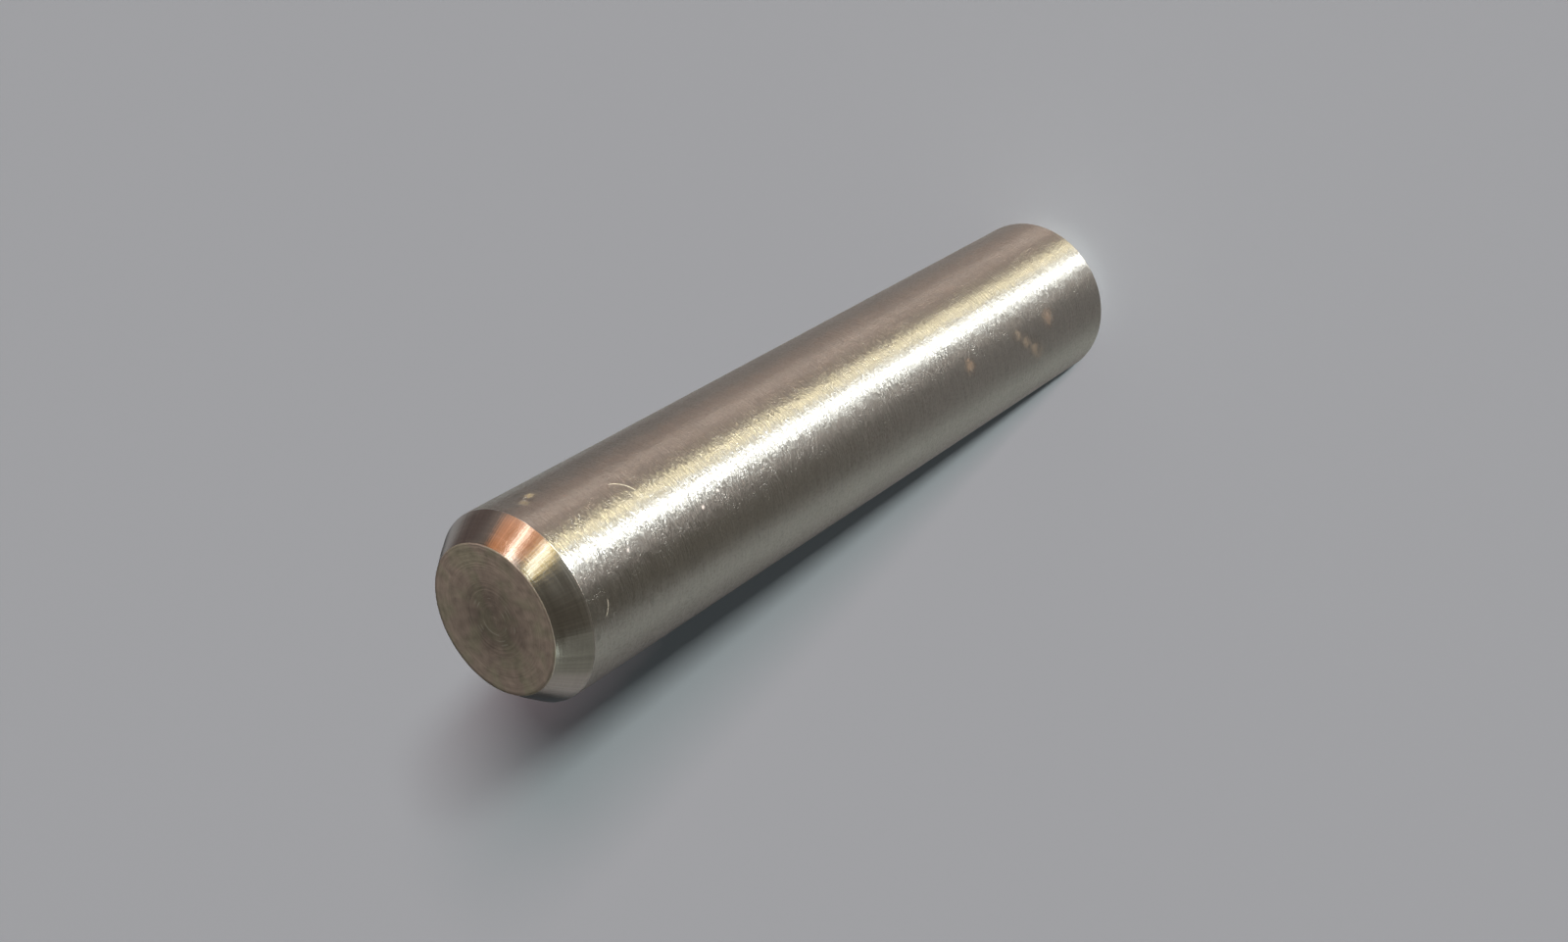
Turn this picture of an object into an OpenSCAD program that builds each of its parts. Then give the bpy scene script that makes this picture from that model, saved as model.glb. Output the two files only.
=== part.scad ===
// Straight steel dowel pin, ground on its body and turned to a chamfered lead at both ends.
// It stands on one end face: +Z runs along the pin, and the origin is the centre of that face.

/* [Body] */
// Diameter of the ground body
body_diameter = 6.35; // [5:0.05:20]
// Overall length, from end face to end face
overall_length = 31.75; // [12:0.25:100]

/* [Leads] */
// Length of the chamfered lead at each end, measured along the pin
lead_length = 0.95; // [0.5:0.05:2]
// Depth of the chamfered lead, measured on the radius
lead_depth = 0.70; // [0.4:0.05:1.5]
// Radius that blends the lead into the ground body
shoulder_radius = 0.08; // [0.02:0.02:0.3]
// Radius that breaks the corner between the lead and the end face
face_radius = 0.06; // [0.02:0.02:0.3]

/* [Hidden] */
$fn = 96;

// Straight steps along each rounded corner
round_steps = 6;

body_radius = body_diameter / 2;
end_radius = body_radius - lead_depth;
// Angle between the lead and the end face
lead_angle = atan2(lead_length, lead_depth);

// A round touches both sides of its corner at the same distance from the corner
face_setback = face_radius * tan(lead_angle / 2);
shoulder_setback = shoulder_radius * tan((90 - lead_angle) / 2);

// Points of a round, turning anticlockwise about its centre between two directions
function round_points(centre, radius, from, to) = [
    for (i = [0 : round_steps])
        let (direction = from + (to - from) * i / round_steps)
        centre + radius * [cos(direction), sin(direction)]
];

// Outline of one end in radius and height, from its flat face out to the body
end_outline = concat(
    round_points([end_radius - face_setback, face_radius], face_radius, -90, lead_angle - 90),
    round_points([body_radius - shoulder_radius, lead_length + shoulder_setback],
        shoulder_radius, lead_angle - 90, 0)
);

// The far end is the same outline, turned end for end
far_outline = [
    for (i = [len(end_outline) - 1 : -1 : 0])
        [end_outline[i].x, overall_length - end_outline[i].y]
];

module pin() {
    color([0.63, 0.61, 0.57])
        rotate_extrude()
            polygon(concat([[0, 0]], end_outline, far_outline, [[0, overall_length]]));
}

pin();
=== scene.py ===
import bpy
from math import cos, pi, radians, sin
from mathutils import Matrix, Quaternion, Vector


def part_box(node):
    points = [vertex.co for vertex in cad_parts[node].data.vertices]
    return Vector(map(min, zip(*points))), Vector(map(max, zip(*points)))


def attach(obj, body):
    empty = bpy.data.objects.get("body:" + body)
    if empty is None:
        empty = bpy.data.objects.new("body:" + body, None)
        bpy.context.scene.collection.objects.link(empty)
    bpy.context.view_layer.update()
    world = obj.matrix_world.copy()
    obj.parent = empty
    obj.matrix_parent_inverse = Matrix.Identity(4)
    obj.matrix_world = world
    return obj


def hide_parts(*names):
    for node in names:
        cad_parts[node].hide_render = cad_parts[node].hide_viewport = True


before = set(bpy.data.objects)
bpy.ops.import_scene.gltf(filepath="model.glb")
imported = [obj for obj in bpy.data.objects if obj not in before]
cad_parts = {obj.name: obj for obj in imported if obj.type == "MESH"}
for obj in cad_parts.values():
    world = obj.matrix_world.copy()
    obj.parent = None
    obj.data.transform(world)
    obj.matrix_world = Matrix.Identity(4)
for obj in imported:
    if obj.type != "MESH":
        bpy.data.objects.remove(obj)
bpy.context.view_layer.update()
mm = 0.001
pinLow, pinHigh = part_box("pin")
pinRadius = (pinHigh.x - pinLow.x) / 2
pinLength = pinHigh.z - pinLow.z


def deselectAll():
    bpy.ops.object.select_all(action="DESELECT")


# Helpers for the finishes. A socket is linked, and a number or colour is set.
def feed(tree, socket, value):
    if isinstance(value, bpy.types.NodeSocket):
        tree.links.new(value, socket)
    else:
        socket.default_value = value


def work(tree, operation, *values):
    step = tree.nodes.new("ShaderNodeMath")
    step.operation = operation
    for socket, value in zip(step.inputs, values):
        feed(tree, socket, value)
    return step.outputs["Value"]


def stretch(tree, place, amounts):
    step = tree.nodes.new("ShaderNodeVectorMath")
    step.operation = "MULTIPLY"
    feed(tree, step.inputs[0], place)
    feed(tree, step.inputs[1], amounts)
    return step.outputs["Vector"]


def direction(tree, place):
    step = tree.nodes.new("ShaderNodeVectorMath")
    step.operation = "NORMALIZE"
    feed(tree, step.inputs[0], place)
    return step.outputs["Vector"]


def farFrom(tree, place, centre):
    step = tree.nodes.new("ShaderNodeVectorMath")
    step.operation = "DISTANCE"
    feed(tree, step.inputs[0], place)
    feed(tree, step.inputs[1], centre)
    return step.outputs["Value"]


def grain(tree, place, perMm, detail=2, seed=0):
    # soft noise from 0 to 1, with perMm spots to a mm along X, Y and Z
    step = tree.nodes.new("ShaderNodeTexNoise")
    step.noise_dimensions = "4D"
    feed(tree, step.inputs["Vector"], stretch(tree, place, perMm))
    step.inputs["W"].default_value = seed
    step.inputs["Scale"].default_value = 1
    step.inputs["Detail"].default_value = detail
    return step.outputs["Fac"]


def rings(tree, distance, perMm, detail=2):
    step = tree.nodes.new("ShaderNodeTexNoise")
    step.noise_dimensions = "1D"
    feed(tree, step.inputs["W"], times(tree, distance, perMm))
    step.inputs["Scale"].default_value = 1
    step.inputs["Detail"].default_value = detail
    return step.outputs["Fac"]


def ramp(tree, value, start, end, low=0.0, high=1.0):
    # low where the value is at start, high where it is at end
    step = tree.nodes.new("ShaderNodeMapRange")
    step.interpolation_type = "SMOOTHSTEP"
    feed(tree, step.inputs["Value"], value)
    feed(tree, step.inputs["From Min"], start)
    feed(tree, step.inputs["From Max"], end)
    feed(tree, step.inputs["To Min"], low)
    feed(tree, step.inputs["To Max"], high)
    return step.outputs["Result"]


def times(tree, first, second):
    return work(tree, "MULTIPLY", first, second)


def total(tree, *parts):
    amount = parts[0]
    for part in parts[1:]:
        amount = work(tree, "ADD", amount, part)
    return amount


def plusMinus(tree, noise, share):
    # noise between 0 and 1 becomes a small plus or minus round nought
    return times(tree, work(tree, "SUBTRACT", noise, 0.5), 2 * share)


def mix(tree, amount, first, second):
    step = tree.nodes.new("ShaderNodeMix")
    step.data_type = "RGBA"
    feed(tree, step.inputs["Factor"], amount)
    feed(tree, step.inputs["A"], first)
    feed(tree, step.inputs["B"], second)
    return step.outputs["Result"]


def shade(tree, colour, amount):
    # amount 1 leaves the colour as it is
    step = tree.nodes.new("ShaderNodeVectorMath")
    step.operation = "SCALE"
    feed(tree, step.inputs[0], colour)
    feed(tree, step.inputs["Scale"], amount)
    return step.outputs["Vector"]


# Camera, above the standing pin and rolled over, so that the pin leans across the picture
camera = {
    "place": (19.21 * mm, -42.87 * mm, 64.55 * mm),
    "turn": (-27.886, 37.415, -106.053),  # degrees
    "lens": 43.907,
    "nearest": 1 * mm,
}
bpy.ops.object.camera_add(
    location=camera["place"], rotation=[radians(angle) for angle in camera["turn"]]
)
cameraObject = bpy.context.object
cameraObject.name = "camera"
cameraObject.data.lens = camera["lens"]
cameraObject.data.clip_start = camera["nearest"]
bpy.context.scene.camera = cameraObject
bpy.context.scene.view_settings.view_transform = "Standard"
print("camera placed")


# Room: a soft grey sky that is palest at the horizon
room = {
    "horizon": (0.352, 0.354, 0.369),
    "ceiling": (0.095, 0.09, 0.077),
    "horizonTop": 0.19,  # height where the pale band ends, 1 is straight up
    "ceilingFrom": 0.42,
}
world = bpy.data.worlds.new("room")
bpy.context.scene.world = world
world.use_nodes = True
nodes = world.node_tree.nodes
links = world.node_tree.links
lookedAt = nodes.new("ShaderNodeTexCoord")
height = nodes.new("ShaderNodeSeparateXYZ")
links.new(lookedAt.outputs["Generated"], height.inputs["Vector"])
fade = nodes.new("ShaderNodeMapRange")
fade.interpolation_type = "SMOOTHSTEP"
fade.inputs["From Min"].default_value = room["horizonTop"]
fade.inputs["From Max"].default_value = room["ceilingFrom"]
links.new(height.outputs["Z"], fade.inputs["Value"])
sky = nodes.new("ShaderNodeMix")
sky.data_type = "RGBA"
sky.inputs["A"].default_value = (*room["horizon"], 1)
sky.inputs["B"].default_value = (*room["ceiling"], 1)
links.new(fade.outputs["Result"], sky.inputs["Factor"])
links.new(sky.outputs["Result"], nodes["Background"].inputs["Color"])

# Lamps stand round the pin. "around" is counted from +X, "up" from the floor, both in degrees,
# and so are "wide" and "tall". A brightness of 1 is as bright as lit white paper.
lampDistance = 40
lamps = {
    "topSoftbox": {"around": -58, "up": 76, "wide": 60, "tall": 18, "bright": 0.6,
                   "tint": (1, 0.97, 0.93), "inShade": False},
    "keyLamp": {"around": -58.9, "up": 31, "wide": 2.5, "tall": 9, "bright": 613,
                "tint": (1, 0.944, 0.83), "inPolish": False},
    "secondLamp": {"around": -54, "up": 29, "wide": 6, "tall": 9, "bright": 137,
                   "tint": (1, 0.616, 0.568), "inPolish": False},
    "bandStrip": {"around": -55, "up": 5, "wide": 11.5, "tall": 9, "bright": 118,
                  "tint": (0.85, 0.94, 1), "inShade": False},
    "skirtStrip": {"around": -75, "up": 5, "wide": 13, "tall": 9, "bright": 6,
                   "tint": (1, 0.92, 0.88), "inShade": False},
    "yellowStrip": {"around": -34.8, "up": 7, "wide": 5.5, "tall": 14, "bright": 51,
                    "tint": (1, 0.95, 0.67), "inShade": False},
    "paleStrip": {"around": 3, "up": 5, "wide": 8, "tall": 9, "bright": 5.9,
                  "tint": (1, 1, 0.97), "inShade": False},
    "yellowLamp": {"around": -32.5, "up": 33, "wide": 13, "tall": 24, "bright": 1.7,
                   "tint": (1, 0.79, 0.29), "roll": 30, "inShade": False},
    "thinLamp": {"around": -31.1, "up": 33.4, "wide": 2, "tall": 24, "bright": 9.2,
                 "tint": (0.59, 0.78, 1), "roll": 30, "inShade": False},
    "whiteLamp": {"around": 0, "up": 28, "wide": 1.8, "tall": 24, "bright": 14.4,
                  "tint": (1, 0.84, 0.79), "inShade": False},
    "copperPanel": {"around": 3, "up": 23, "wide": 52, "tall": 26, "bright": 0.82,
                    "tint": (1, 0.38, 0.14), "inShade": False},
    "fillPanel": {"around": 40, "up": 52, "wide": 90, "tall": 20, "bright": 1.9,
                  "tint": (1, 0.94, 0.95), "inShade": False},
    "sidePanel": {"around": -164, "up": 42, "wide": 28, "tall": 22, "bright": 2.3,
                  "tint": (0.84, 1, 1), "inShade": False},
}


def addLamp(name, lamp):
    around = radians(lamp["around"])
    up = radians(lamp["up"])
    side = lampDistance * cos(up)
    place = Vector((side * cos(around), side * sin(around), lampDistance * sin(up) + pinLength / 2))
    bpy.ops.object.light_add(type="AREA", location=place)
    lampObject = bpy.context.object
    lampObject.name = name
    turn = place.to_track_quat("Z", "Y") @ Quaternion((0, 0, 1), radians(lamp.get("roll", 0)))
    lampObject.rotation_euler = turn.to_euler()
    lampObject.visible_camera = False
    lampObject.visible_glossy = lamp.get("inPolish", True)
    lampObject.visible_diffuse = lamp.get("inShade", True)
    light = lampObject.data
    light.shape = "RECTANGLE"
    light.size = lampDistance * radians(lamp["wide"])
    light.size_y = lampDistance * radians(lamp["tall"])
    light.energy = lamp["bright"] * pi * light.size * light.size_y
    light.color = lamp["tint"]


for lampName, lampSettings in lamps.items():
    addLamp(lampName, lampSettings)
print("lamps placed")

# Cards round the pin, seen only in its polish. The dark ones draw its dark edges, and the pale one
# brightens one edge. "lift" is the height of a card's middle above the pin's middle.
cards = {
    "underCard": {"around": 124, "up": 0, "away": 11.5 * mm, "lift": 8 * mm,
                  "wide": 22 * mm, "tall": 56 * mm, "soft": 0.2, "tint": (0.05, 0.052, 0.055)},
    "skirtCard": {"around": 158, "up": 0, "away": 11.5 * mm, "lift": 3 * mm,
                  "wide": 9 * mm, "tall": 24 * mm, "soft": 0.25, "tint": (0.045, 0.058, 0.07)},
    "backCard": {"around": 58, "up": 10, "away": 120 * mm, "lift": 0,
                 "wide": 180 * mm, "tall": 100 * mm, "soft": 0.40, "tint": (0.15, 0.122, 0.125)},
    "paleCard": {"around": 65, "up": 0, "away": 60 * mm, "lift": -10 * mm,
                 "wide": 22 * mm, "tall": 18 * mm, "soft": 0.3, "tint": (1.2, 1.4, 1.45)},
    "sideCard": {"around": -152.5, "up": 16, "away": 6, "lift": 0,
                 "wide": 6.1, "tall": 3.2, "soft": 0.12, "tint": (0.232, 0.247, 0.236)},
    "frontCard": {"around": -104, "up": 0, "away": 12 * mm, "lift": 7 * mm,
                  "wide": 12 * mm, "tall": 28 * mm, "soft": 0.3, "tint": (0.17, 0.165, 0.145)},
}


def addCard(name, card):
    around = radians(card["around"])
    up = radians(card["up"])
    side = card["away"] * cos(up)
    height = card["away"] * sin(up) + pinLength / 2 + card["lift"]
    bpy.ops.mesh.primitive_plane_add(
        size=1, location=(side * cos(around), side * sin(around), height),
        rotation=(pi / 2 + up, 0, around - pi / 2),
    )
    piece = bpy.context.object
    piece.name = name
    piece.scale = (card["wide"], card["tall"], 1)
    finish = bpy.data.materials.new(name + "Finish")
    finish.use_nodes = True
    finish.cycles.emission_sampling = "NONE"
    shader = finish.node_tree.nodes["Principled BSDF"]
    shader.inputs["Base Color"].default_value = (0, 0, 0, 1)
    shader.inputs["Specular IOR Level"].default_value = 0
    shader.inputs["Emission Color"].default_value = (*card["tint"], 1)
    shader.inputs["Emission Strength"].default_value = 1
    tree = finish.node_tree
    coordinates = tree.nodes.new("ShaderNodeTexCoord")
    parts = tree.nodes.new("ShaderNodeSeparateXYZ")
    tree.links.new(coordinates.outputs["Object"], parts.inputs["Vector"])
    edge = 0.5               # the plane runs from -0.5 to 0.5 in its own units
    inside = edge - card["soft"]
    across = ramp(tree, work(tree, "ABSOLUTE", parts.outputs["X"]), edge, inside)
    upright = ramp(tree, work(tree, "ABSOLUTE", parts.outputs["Y"]), edge, inside)
    tree.links.new(times(tree, across, upright), shader.inputs["Alpha"])
    piece.data.materials.append(finish)
    piece.visible_camera = False
    piece.visible_diffuse = False
    piece.visible_shadow = False


for cardName, cardSettings in cards.items():
    addCard(cardName, cardSettings)
print("cards placed")

# Floor, plain and pale
floorPlate = {
    "radius": 1.0,
    "sides": 96,
    "colour": (0.305, 0.36, 0.42),
    "roughness": 1,
}
deselectAll()
bpy.ops.mesh.primitive_circle_add(
    vertices=floorPlate["sides"], radius=floorPlate["radius"], fill_type="NGON"
)
floor = bpy.context.object
floor.name = "floor"
floorFinish = bpy.data.materials.new("floorFinish")
floorFinish.use_nodes = True
floorShader = floorFinish.node_tree.nodes["Principled BSDF"]
floorShader.inputs["Base Color"].default_value = (*floorPlate["colour"], 1)
floorShader.inputs["Roughness"].default_value = floorPlate["roughness"]
floorShader.inputs["Specular IOR Level"].default_value = 0
floor.data.materials.append(floorFinish)
print("floor laid")


# A metal finish. Its polish can be drawn out in one direction, and places on it are in mm.
def newFinish(name, anisotropy=0.0, lineRotation=0.0):
    finish = bpy.data.materials.new(name)
    finish.use_nodes = True
    tree = finish.node_tree
    shader = tree.nodes["Principled BSDF"]
    shader.inputs["Metallic"].default_value = 1
    shader.inputs["Anisotropic"].default_value = anisotropy
    shader.inputs["Anisotropic Rotation"].default_value = lineRotation
    if anisotropy > 0:
        tangent = tree.nodes.new("ShaderNodeTangent")
        tangent.direction_type = "RADIAL"
        tangent.axis = "Z"
        tree.links.new(tangent.outputs["Tangent"], shader.inputs["Tangent"])
    coordinates = tree.nodes.new("ShaderNodeTexCoord")
    place = stretch(tree, coordinates.outputs["Object"], (1 / mm, 1 / mm, 1 / mm))
    return finish, tree, shader, place


def raised(tree, shader, heightInMm):
    bump = tree.nodes.new("ShaderNodeBump")
    bump.inputs["Strength"].default_value = 1
    bump.inputs["Distance"].default_value = mm
    feed(tree, bump.inputs["Height"], heightInMm)
    tree.links.new(bump.outputs["Normal"], shader.inputs["Normal"])


# Wear on the body. A place is (degrees round from +X, mm up from the floor), and sizes are in mm.
wear = {
    "scratches": [
        {"start": (-44.2, 26.97), "end": (-32.6, 27.50), "bow": 0.10, "width": 0.055, "strength": 0.85},
        {"start": (-95.6, 30.22), "end": (-87.2, 30.02), "bow": 0.05, "width": 0.05, "strength": 0.6},
    ],
    "scratchColour": (0.80, 0.84, 0.68),
    "specks": [
        {"at": (-70.1, 28.57), "radius": 0.10, "colour": (0.78, 0.78, 0.75)},
        {"at": (-71.2, 25.16), "radius": 0.095, "colour": (0.74, 0.74, 0.71)},
        {"at": (-67.4, 24.29), "radius": 0.08, "colour": (0.74, 0.74, 0.71)},
        {"at": (-24.4, 28.96), "radius": 0.08, "colour": (0.36, 0.30, 0.25)},
        {"at": (-9.6, 29.60), "radius": 0.26, "colour": (0.30, 0.275, 0.18)},
        {"at": (-13.4, 30.02), "radius": 0.24, "colour": (0.20, 0.185, 0.13)},
    ],
    "rustSpots": [
        {"at": (-82.8, 10.34), "radius": 0.43, "colour": (0.15, 0.098, 0.045)},
        {"at": (-82.0, 4.82), "radius": 0.50, "colour": (0.12, 0.08, 0.045)},
    ],
    "rustStreak": {"start": (-76, 7.3), "end": (-105, 5.5), "bow": 0.05, "width": 0.95},
    "rustStreakColour": (0.14, 0.118, 0.065),
    "rustStrength": 0.55,
    "streakBreaks": (2.2, 2.2, 2.2),     # to a mm
    "streakBreakEdge": (0.34, 0.62),     # noise at which the streak is weakest and strongest
    "streakStrength": (0.08, 0.48),
    "raggedness": (14, 14, 14),          # of the edge of a spot, to a mm
    "raggedShare": 0.9,
    "scratchDepth": 0.004,
    "lineFade": 0.06,                    # share of a line over which each end fades
    "spotCore": 0.1,                     # share of a spot that has its full colour
    "markRoughness": 0.25,               # added to that of the steel
    "markMetal": 0.2,                    # how metallic a mark still is
}

# A small knock just behind the lead
nick = {
    "start": (-14.4, 30.10),   # degrees round from +X, mm up from the floor
    "end": (-9.8, 29.58),
    "reach": 0.13 * mm,
    "depth": 0.022 * mm,
    "presses": 5,
    "rows": 12,                # cuts across the body there, so that the metal can give
    "cuts": 3,
    "margin": 3,               # body cut finely past its ends, in reaches
    "fineShare": 0.6,          # of that length, how far from the nick faces are cut again
    "sideways": 0.1,           # most that a face of the body can look along the pin
}


def onBody(place):
    around = radians(place[0])
    radius = pinRadius / mm
    return Vector((radius * cos(around), radius * sin(around), place[1]))


# A curved line is part of a thin ring, whose radius follows from the bow of the line
def lineMask(tree, place, line):
    start = onBody(line["start"])
    end = onBody(line["end"])
    middle = (start + end) / 2
    chord = (end - start).length
    outward = Vector((middle.x, middle.y, 0)).normalized()
    aside = (end - start).cross(outward).normalized()
    radius = chord ** 2 / (8 * line["bow"]) + line["bow"] / 2
    centre = middle - aside * (radius - line["bow"])
    off = work(tree, "ABSOLUTE", work(tree, "SUBTRACT", farFrom(tree, place, centre), radius))
    across = ramp(tree, off, line["width"] / 2, 0)
    fadedEnd = wear["lineFade"] * chord
    along = ramp(tree, farFrom(tree, place, middle), chord / 2 + fadedEnd, chord / 2 - fadedEnd)
    return times(tree, across, along)


def spotMask(tree, place, spot):
    radius = spot["radius"]
    ragged = plusMinus(tree, grain(tree, place, wear["raggedness"]), wear["raggedShare"] * radius)
    away = total(tree, farFrom(tree, place, onBody(spot["at"])), ragged)
    return ramp(tree, away, radius, wear["spotCore"] * radius)


# Ground body: short fine lines run round the pin, so a bright band is drawn out along it.
# Lines, grit and patches are counted to a mm, and heights are in mm.
ground = {
    "colour": (0.435, 0.397, 0.345),
    "roughness": 0.36,
    "anisotropy": 1.0,
    "lineRotation": 0.25,         # share of a turn
    "lines": (1.1, 1.1, 17),
    "dashes": (3, 3, 13),
    "grit": (11, 11, 11),
    "patches": (0.35, 0.35, 0.2),
    "lineShade": 0.16,
    "dashShade": 0.12,
    "patchShade": 0.06,
    "lineHeight": 0.003,
    "dashHeight": 0.014,
    "gritHeight": 0.002,
    "sparks": (19, 19, 19),       # tiny dents that glint beside the bright bands
    "sparkEdge": (0.56, 0.66),    # noise at which a dent begins and is full
    "sparkPatches": (1.6, 1.6, 1.6),
    "sparkPatchEdge": (0.40, 0.55),
    "sparkDepth": 0.0022,
    "gritEdge": (0.46, 0.66),
    "gritRoughness": 0.34,
    "patchRoughness": 0.02,
}


def makeGroundSteel():
    finish, tree, shader, place = newFinish("groundSteel", ground["anisotropy"], ground["lineRotation"])
    lines = grain(tree, place, ground["lines"], detail=3, seed=1)
    dashes = grain(tree, place, ground["dashes"], seed=2)
    grit = grain(tree, place, ground["grit"], seed=3)
    patches = grain(tree, place, ground["patches"], seed=4)
    sparks = ramp(tree, grain(tree, place, ground["sparks"], detail=0, seed=12), *ground["sparkEdge"])
    sparkPatches = grain(tree, place, ground["sparkPatches"], seed=13)
    sparkPatches = ramp(tree, sparkPatches, *ground["sparkPatchEdge"])
    brightness = total(
        tree, 1.0,
        plusMinus(tree, lines, ground["lineShade"]),
        plusMinus(tree, dashes, ground["dashShade"]),
        plusMinus(tree, patches, ground["patchShade"]),
    )
    colour = shade(tree, ground["colour"], brightness)
    scratches = 0.0
    for scratch in wear["scratches"]:
        mask = times(tree, lineMask(tree, place, scratch), scratch["strength"])
        scratches = work(tree, "MAXIMUM", mask, scratches)
    colour = mix(tree, scratches, colour, (*wear["scratchColour"], 1))
    marks = scratches
    for speck in wear["specks"]:
        mask = spotMask(tree, place, speck)
        colour = mix(tree, mask, colour, (*speck["colour"], 1))
        marks = work(tree, "MAXIMUM", marks, mask)
    for spot in wear["rustSpots"]:
        mask = times(tree, spotMask(tree, place, spot), wear["rustStrength"])
        colour = mix(tree, mask, colour, (*spot["colour"], 1))
        marks = work(tree, "MAXIMUM", marks, mask)
    breaks = grain(tree, place, wear["streakBreaks"], seed=5)
    breaks = ramp(tree, breaks, *wear["streakBreakEdge"], *wear["streakStrength"])
    mask = times(tree, lineMask(tree, place, wear["rustStreak"]), breaks)
    colour = mix(tree, mask, colour, (*wear["rustStreakColour"], 1))
    marks = work(tree, "MAXIMUM", marks, mask)
    roughness = total(
        tree, ground["roughness"],
        ramp(tree, grit, *ground["gritEdge"], 0.0, ground["gritRoughness"]),
        plusMinus(tree, patches, ground["patchRoughness"]),
        times(tree, marks, wear["markRoughness"]),
    )
    tree.links.new(colour, shader.inputs["Base Color"])
    tree.links.new(roughness, shader.inputs["Roughness"])
    tree.links.new(ramp(tree, marks, 0, 1, 1.0, wear["markMetal"]), shader.inputs["Metallic"])
    raised(tree, shader, total(
        tree,
        plusMinus(tree, lines, ground["lineHeight"]),
        plusMinus(tree, dashes, ground["dashHeight"]),
        plusMinus(tree, grit, ground["gritHeight"]),
        times(tree, scratches, -wear["scratchDepth"]),
        times(tree, times(tree, sparks, sparkPatches), -ground["sparkDepth"]),
    ))
    return finish


# Turned lead: rings from the tool, and faint streaks down the slope
turned = {
    "colour": (0.45, 0.405, 0.345),
    "roughness": 0.2,
    "ringLines": (0.6, 0.6, 24),      # to a mm
    "spokes": (34, 34, 0),            # fine lines down the slope
    "patches": (1.2, 1.2, 1.2),
    "ringShade": 0.14,
    "spokeShade": 0.30,
    "patchShade": 0.12,
    "ringHeight": 0.0015,
    "spokeHeight": 0.0014,
    "ringRoughness": 0.04,
    "patchRoughness": 0.03,
}


def makeTurnedSteel():
    finish, tree, shader, place = newFinish("turnedSteel")
    ringLines = grain(tree, place, turned["ringLines"], seed=6)
    outward = direction(tree, stretch(tree, place, (1, 1, 0)))
    spokes = grain(tree, outward, turned["spokes"], seed=7)
    patches = grain(tree, place, turned["patches"], seed=8)
    brightness = total(
        tree, 1.0,
        plusMinus(tree, ringLines, turned["ringShade"]),
        plusMinus(tree, spokes, turned["spokeShade"]),
        plusMinus(tree, patches, turned["patchShade"]),
    )
    tree.links.new(shade(tree, turned["colour"], brightness), shader.inputs["Base Color"])
    roughness = total(
        tree, turned["roughness"],
        plusMinus(tree, ringLines, turned["ringRoughness"]),
        plusMinus(tree, patches, turned["patchRoughness"]),
    )
    tree.links.new(roughness, shader.inputs["Roughness"])
    raised(tree, shader, total(
        tree,
        plusMinus(tree, ringLines, turned["ringHeight"]),
        plusMinus(tree, spokes, turned["spokeHeight"]),
    ))
    return finish


# Faced end: rings about the centre, a duller middle and a few bright marks there.
# Rings and patches are counted to a mm, and distances from the centre are in mm.
faced = {
    "colour": (0.55, 0.445, 0.366),
    "roughness": 0.5,
    "middleShade": 0.66,             # brightness of the middle against the rim
    "middleReach": (0.5, 1.9),
    "paintedRimShade": 0.7,                 # painted shade: the face darkens to a thin line at its rim
    "paintedRimShadeReach": (2.38, 2.44),
    "fineRings": 14,
    "broadRings": 3.2,
    "ringShade": 0.10,
    "waver": 0.05,                   # how far a ring strays
    "mottle": (3.5, 3.5, 3.5),
    "mottleShade": 0.26,
    "clouds": (1.1, 1.1, 1.1),
    "cloudShade": 0.22,
    "cloudTint": (0.468, 0.416, 0.314),
    "cloudEdge": (0.42, 0.62),       # noise at which a cloud begins and is full
    "ringHeight": 0.0025,
    "mottleHeight": 0.004,
    "mottleRoughness": 0.08,
    "arcRings": 9,
    "arcEdge": (0.56, 0.70),
    "arcBreaks": (2.4, 2.4, 2.4),
    "arcBreakEdge": (0.50, 0.62),
    "arcReach": (1.15, 0.5),         # where the arcs fade out, and where they are full
    "arcStrength": 0.8,
    "arcColour": (0.58, 0.54, 0.44),
}


def makeFacedSteel():
    finish, tree, shader, place = newFinish("facedSteel")
    flat = stretch(tree, place, (1, 1, 0))
    radius = farFrom(tree, flat, (0, 0, 0))
    mottle = grain(tree, place, faced["mottle"], detail=3, seed=9)
    clouds = grain(tree, place, faced["clouds"], seed=10)
    waver = total(tree, radius, plusMinus(tree, clouds, faced["waver"]))
    fineRings = rings(tree, waver, faced["fineRings"])
    broadRings = rings(tree, waver, faced["broadRings"])
    middle = ramp(tree, waver, *faced["middleReach"], faced["middleShade"], 1.0)
    # painted shade: colour darkened at the face's outer edge and its round, so a thin dark line shows
    # there
    rim = ramp(tree, radius, *faced["paintedRimShadeReach"], 1.0, faced["paintedRimShade"])
    brightness = times(tree, middle, total(
        tree, 1.0,
        plusMinus(tree, fineRings, faced["ringShade"]),
        plusMinus(tree, broadRings, faced["ringShade"]),
        plusMinus(tree, mottle, faced["mottleShade"]),
        plusMinus(tree, clouds, faced["cloudShade"]),
    ))
    # short bright arcs left round the middle
    arcRings = ramp(tree, rings(tree, waver, faced["arcRings"], detail=0), *faced["arcEdge"])
    arcLengths = grain(tree, place, faced["arcBreaks"], detail=1, seed=11)
    arcLengths = ramp(tree, arcLengths, *faced["arcBreakEdge"])
    arcs = times(tree, times(tree, arcRings, arcLengths), ramp(tree, radius, *faced["arcReach"]))
    cloudy = ramp(tree, clouds, *faced["cloudEdge"])
    colour = mix(tree, cloudy, (*faced["colour"], 1), (*faced["cloudTint"], 1))
    colour = shade(tree, colour, times(tree, brightness, rim))
    colour = mix(tree, times(tree, arcs, faced["arcStrength"]), colour, (*faced["arcColour"], 1))
    tree.links.new(colour, shader.inputs["Base Color"])
    roughness = total(tree, faced["roughness"], plusMinus(tree, mottle, faced["mottleRoughness"]))
    tree.links.new(roughness, shader.inputs["Roughness"])
    raised(tree, shader, total(
        tree,
        plusMinus(tree, fineRings, faced["ringHeight"]),
        plusMinus(tree, mottle, faced["mottleHeight"]),
    ))
    return finish


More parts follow.
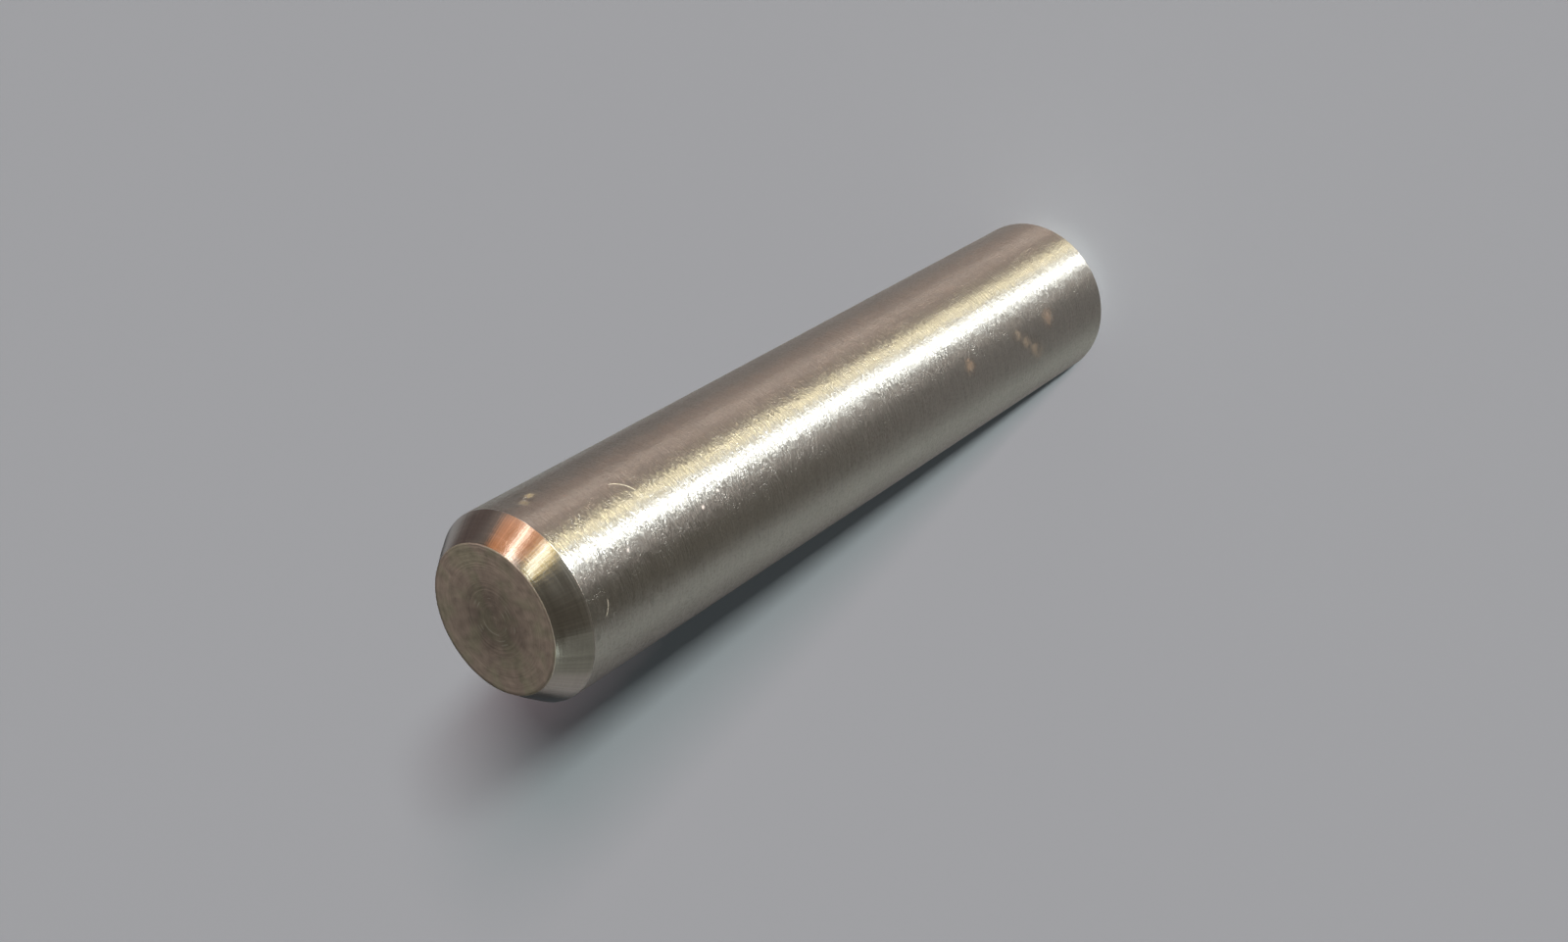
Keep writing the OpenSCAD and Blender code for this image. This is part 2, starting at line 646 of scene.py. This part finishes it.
groundSteel = makeGroundSteel()
turnedSteel = makeTurnedSteel()
facedSteel = makeFacedSteel()
print("finishes mixed")

# The pin: a ground body with a turned lead and a faced end, both ends alike
pin = {
    "sides": 192,
    "leadLength": 0.95 * mm,
    "leadDepth": 0.70 * mm,
    # the lead is slightly crowned: share of its length from the body, and how proud it stands there
    "leadSteps": [(0.20, 0.006 * mm), (0.445, 0.013 * mm), (0.70, 0.008 * mm)],
    "shoulderRound": 0.012 * mm,
    "faceRound": 0.03 * mm,
    "roundSteps": 4,
    # rings cut by the facing tool: radius, and how far they lie below the rim, both in mm
    "faceRings": [(2.33, 0.004), (2.24, 0.010), (1.90, 0.007), (1.50, 0.011), (1.05, 0.009),
                  (0.62, 0.014), (0.34, 0.010), (0.22, 0.018), (0.09, 0.012)],
    "endFacing": 0.99,      # least that an end face looks along the pin
    "smoothAngle": 30,      # degrees
}


def selectFaces(test):
    bpy.ops.mesh.select_mode(type="FACE")
    bpy.ops.mesh.select_all(action="DESELECT")
    bpy.ops.object.mode_set(mode="OBJECT")
    for face in bpy.context.object.data.polygons:
        face.select = test(face)
    bpy.ops.object.mode_set(mode="EDIT")


def selectEdges(test):
    bpy.ops.mesh.select_mode(type="EDGE")
    bpy.ops.mesh.select_all(action="DESELECT")
    bpy.ops.object.mode_set(mode="OBJECT")
    mesh = bpy.context.object.data
    for edge in mesh.edges:
        edge.select = all(test(mesh.vertices[i].co) for i in edge.vertices)
    bpy.ops.object.mode_set(mode="EDIT")


# The selected end face is drawn out along the pin and made narrower
def drawOut(travel, narrower):
    bpy.ops.mesh.extrude_region_move(TRANSFORM_OT_translate={"value": (0, 0, travel)})
    bpy.ops.transform.resize(value=(narrower, narrower, 1), center_override=(0, 0, pinLength / 2))


def selectVertices(test):
    bpy.ops.mesh.select_mode(type="VERT")
    bpy.ops.mesh.select_all(action="DESELECT")
    bpy.ops.object.mode_set(mode="OBJECT")
    for vertex in bpy.context.object.data.vertices:
        vertex.select = test(vertex.co)
    bpy.ops.object.mode_set(mode="EDIT")


# The nick is pressed in by small steps, each one narrower
def knock():
    start = onBody(nick["start"]) * mm
    end = onBody(nick["end"]) * mm
    middle = (start + end) / 2
    along = end - start
    reach = nick["reach"]
    span = along.length + nick["margin"] * reach
    fine = span * nick["fineShare"]
    for row in range(nick["rows"] + 1):
        bpy.ops.mesh.select_all(action="SELECT")
        height = middle.z + span * (row / nick["rows"] - 0.5)
        bpy.ops.mesh.bisect(plane_co=(0, 0, height), plane_no=(0, 0, 1))
    selectFaces(lambda face: (face.center - middle).length < fine
                and abs(face.normal.z) < nick["sideways"])
    bpy.ops.mesh.subdivide(number_cuts=nick["cuts"])

    def fromNick(co):
        share = max(0, min(1, (co - start).dot(along) / along.length_squared))
        return (co - start - along * share).length

    inward = Vector((-middle.x, -middle.y, 0)).normalized()
    for press in range(nick["presses"]):
        narrowed = reach * (1 - press / nick["presses"])
        selectVertices(lambda co: fromNick(co) < narrowed)
        bpy.ops.transform.translate(value=inward * nick["depth"] / nick["presses"])


def makePin():
    leadLength = pin["leadLength"]
    endRadius = pinRadius - pin["leadDepth"]
    deselectAll()
    bpy.ops.mesh.primitive_cylinder_add(
        vertices=pin["sides"], radius=pinRadius, depth=pinLength - 2 * leadLength,
        location=(0, 0, pinLength / 2),
    )
    piece = bpy.context.object
    piece.name = "steelPin"
    bpy.ops.object.transform_apply(location=True)
    bpy.ops.object.mode_set(mode="EDIT")
    leadSteps = [*pin["leadSteps"], (1, 0)]
    for end in (-1, 1):
        selectFaces(lambda face: face.normal.z * end > pin["endFacing"])
        rise = 0
        radius = pinRadius
        for share, proud in leadSteps:
            nextRadius = pinRadius - pin["leadDepth"] * share + proud
            drawOut(end * (leadLength * share - rise), nextRadius / radius)
            rise = leadLength * share
            radius = nextRadius
    near = 0.001 * mm      # slack when edges are picked by their height
    shoulders = (leadLength, pinLength - leadLength)
    selectEdges(lambda co: min(abs(co.z - height) for height in shoulders) < near)
    bpy.ops.mesh.bevel(offset=pin["shoulderRound"], segments=pin["roundSteps"], affect="EDGES")
    selectEdges(lambda co: min(co.z, pinLength - co.z) < near)
    bpy.ops.mesh.bevel(offset=pin["faceRound"], segments=pin["roundSteps"], affect="EDGES")
    for end in (-1, 1):
        endHeight = pinLength / 2 * (1 + end)
        selectFaces(lambda face: face.normal.z * end > pin["endFacing"]
                    and abs(face.center.z - endHeight) < near)
        radius = endRadius - pin["faceRound"]
        depth = 0
        for ringRadius, ringDepth in pin["faceRings"]:
            drawOut(end * (depth - ringDepth * mm), ringRadius * mm / radius)
            radius = ringRadius * mm
            depth = ringDepth * mm
    knock()
    bpy.ops.object.mode_set(mode="OBJECT")
    for finish in (groundSteel, turnedSteel, facedSteel):
        piece.data.materials.append(finish)
    for face in piece.data.polygons:
        endDistance = min(face.center.z, pinLength - face.center.z)
        outer = Vector((face.center.x, face.center.y)).length
        if outer < endRadius + pin["faceRound"] and endDistance < pin["faceRound"]:
            face.material_index = 2
        elif endDistance < leadLength + pin["shoulderRound"]:
            face.material_index = 1
    bpy.ops.object.shade_smooth_by_angle(angle=radians(pin["smoothAngle"]))
    bpy.ops.object.modifier_add(type="WEIGHTED_NORMAL")
    bpy.context.object.modifiers[-1].keep_sharp = True
    bpy.ops.object.modifier_apply(modifier=bpy.context.object.modifiers[-1].name)
    return piece


steelPin = makePin()
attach(steelPin, "root")
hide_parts("pin")
print("pin modelled")
